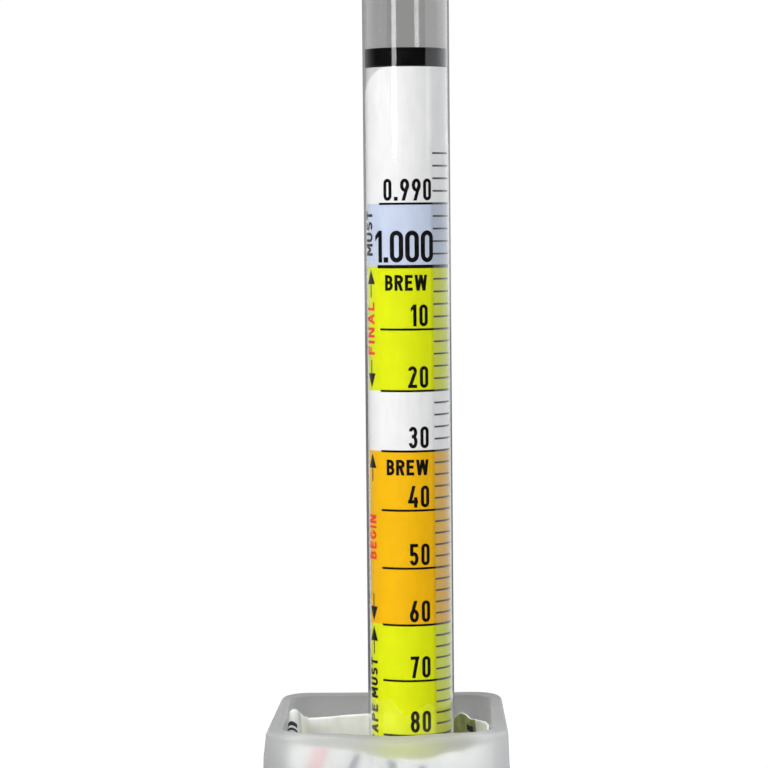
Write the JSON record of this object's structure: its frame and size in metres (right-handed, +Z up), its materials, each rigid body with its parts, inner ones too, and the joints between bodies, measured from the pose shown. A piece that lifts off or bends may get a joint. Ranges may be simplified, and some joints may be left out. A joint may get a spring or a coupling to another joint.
{
  "type": "hydrometer",
  "caption": "Glass hydrometer with a coloured gravity scale in its stem, standing in a square frosted plastic storage case with a rolled leaflet.",
  "frame": {"origin": "centre of the storage case's underside", "axes": "+Z up along the stem and the case; +X to the right and -Y towards the viewer who reads the scale's main column"},
  "size_m": [0.0204, 0.0204, 0.2636],
  "materials": {
    "case_plastic": "satin",
    "pad_foam": "matte",
    "leaflet_paper": "matte",
    "clear_glass": "gloss",
    "scale_print": "satin",
    "ink_black": "satin",
    "ink_red": "satin",
    "band_black": "satin",
    "shot_steel": "satin",
    "seal_wax": "satin"
  },
  "bodies": {
    "case": {"case_body": "case_plastic", "base_pad": "pad_foam"},
    "leaflet": {"leaflet": "leaflet_paper"},
    "hydrometer": {"glass_envelope": "clear_glass", "scale_paper": "scale_print", "scale_band": "band_black", "ballast_shot": "shot_steel", "ballast_wax": "seal_wax"}
  },
  "joints": [
    {"name": "hydrometer_lift", "type": "slide", "parent": "case", "child": "hydrometer", "axis": [0, 0, 1], "range_m": [0, 0.196]},
    {"name": "leaflet_pull", "type": "slide", "parent": "case", "child": "leaflet", "axis": [0, 0, 1], "range_m": [0, 0.196]}
  ]
}
